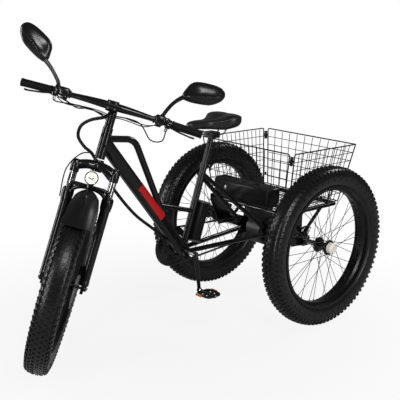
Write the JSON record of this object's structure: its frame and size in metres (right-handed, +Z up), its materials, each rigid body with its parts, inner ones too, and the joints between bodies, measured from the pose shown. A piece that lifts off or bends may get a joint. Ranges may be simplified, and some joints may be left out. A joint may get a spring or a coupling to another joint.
{
  "type": "electric tricycle",
  "caption": "Fat-tyred electric tricycle with spoked wheels, turned suspension fork, rear wire cargo basket, battery and drive unit between the stays.",
  "frame": {"origin": "on the ground, under the middle of the rear axle", "axes": "+X to the vehicle's left, +Y to its rear, +Z up; the front wheel lies towards -Y"},
  "size_m": [0.887, 1.8287, 1.3424],
  "materials": {
    "black_paint": "satin black enamel",
    "tyre": "black rubber with moulded lugs",
    "rim": "gloss black",
    "hub": "satin black",
    "spoke": "plain wire",
    "saddle": "smooth black cover",
    "steel": "bright steel",
    "plastic": "fine grain",
    "gloss": "gloss black",
    "rubber": "matt black",
    "bronze": "brown oxide",
    "motor": "black cast",
    "wire": "black coated wire"
  },
  "bodies": {
    "frame": {"main_frame": "black_paint", "rear_frame": "black_paint", "seat_clamp": "black_paint", "seat_post": "steel", "saddle_rails": "steel", "saddle": "saddle", "controller_box": "plastic", "battery_case": "plastic", "basket_floor": "wire", "basket_panels": "wire", "basket_clips": "plastic", "drive_motor": "motor", "sprockets": "bronze", "chain": "steel", "axle_shafts": "steel", "frame_harness": "rubber"},
    "steering": {"fork_crown": "black_paint", "fork_lowers": "black_paint", "stem": "black_paint", "handlebar": "black_paint", "grips": "rubber", "brake_levers": "plastic", "control_pods": "plastic", "mirrors": "gloss", "headlamp": "gloss", "front_guard": "plastic", "brake_caliper": "steel", "steering_harness": "rubber", "steering_cables": "rubber"},
    "front_wheel": {"front_tyre": "tyre", "front_rim": "rim", "front_hub": "hub", "front_spokes": "spoke"},
    "left_wheel": {"left_tyre": "tyre", "left_rim": "rim", "left_hub": "hub", "left_spokes": "spoke"},
    "right_wheel": {"right_tyre": "tyre", "right_rim": "rim", "right_hub": "hub", "right_spokes": "spoke"},
    "crank": {"crankset": "black_paint", "chain_ring": "black_paint"},
    "left_pedal_body": {"left_pedal": "plastic"},
    "right_pedal_body": {"right_pedal": "plastic"}
  },
  "joints": [
    {"name": "steer", "type": "hinge", "parent": "frame", "child": "steering", "pos_m": [0, -1.14985, 0.35153], "axis": [0, 0.3502, 0.9367], "range_deg": [-109.7, 10.3], "deforming": ["steering_harness"]},
    {"name": "front_wheel_spin", "type": "hinge", "parent": "steering", "child": "front_wheel", "pos_m": [0.03432, -1.17711, 0.36173], "axis": [0.6468, 0.7144, -0.2671], "continuous": true},
    {"name": "left_wheel_spin", "type": "hinge", "parent": "frame", "child": "left_wheel", "pos_m": [0.3795, 0, 0.372], "axis": [1, 0, 0], "continuous": true},
    {"name": "right_wheel_spin", "type": "hinge", "parent": "frame", "child": "right_wheel", "pos_m": [-0.3795, 0, 0.372], "axis": [1, 0, 0], "continuous": true},
    {"name": "crank_spin", "type": "hinge", "parent": "frame", "child": "crank", "pos_m": [0, -0.525, 0.362], "axis": [1, 0, 0], "continuous": true},
    {"name": "left_pedal_spin", "type": "hinge", "parent": "crank", "child": "left_pedal_body", "pos_m": [0.155, -0.5012, 0.19266], "axis": [1, 0, 0], "continuous": true},
    {"name": "right_pedal_spin", "type": "hinge", "parent": "crank", "child": "right_pedal_body", "pos_m": [-0.155, -0.5488, 0.53134], "axis": [1, 0, 0], "continuous": true}
  ]
}
